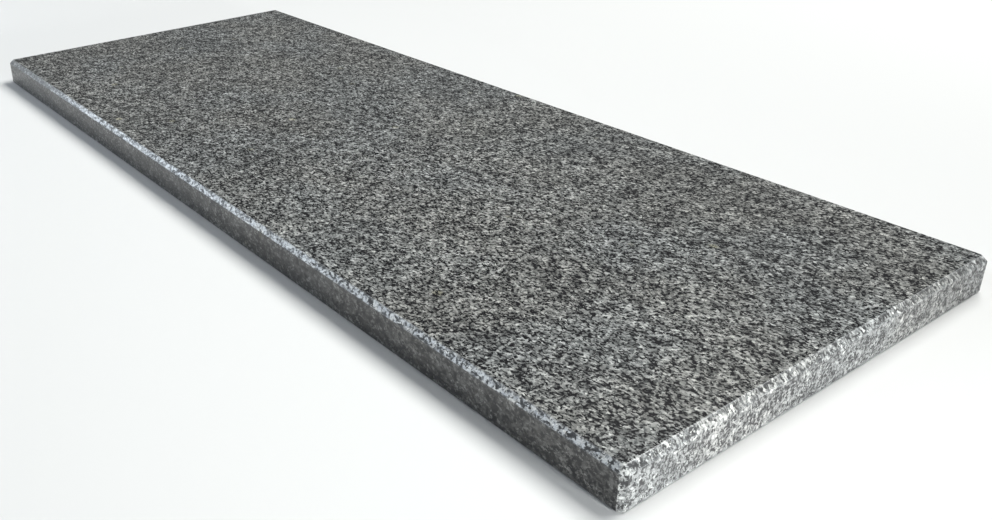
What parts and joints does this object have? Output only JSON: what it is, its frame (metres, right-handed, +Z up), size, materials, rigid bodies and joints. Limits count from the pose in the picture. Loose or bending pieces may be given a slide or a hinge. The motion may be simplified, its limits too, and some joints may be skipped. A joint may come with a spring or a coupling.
{
  "type": "granite slab",
  "caption": "Flat rectangular slab of grey speckled granite with a polished top, chamfered top edges and chamfered upright corners, used as a firm work surface.",
  "frame": {"origin": "centre of the underside, on the surface the slab lies on", "axes": "+X along the length, +Y across the depth, +Z up through the thickness to the polished top face"},
  "size_m": [1, 0.4, 0.03],
  "materials": {
    "granite": "medium-grained grey granite, polished on top, fine-ground on the chamfers and sides, sawn underneath"
  },
  "bodies": {
    "root": {"granite_slab": "granite"}
  },
  "joints": []
}
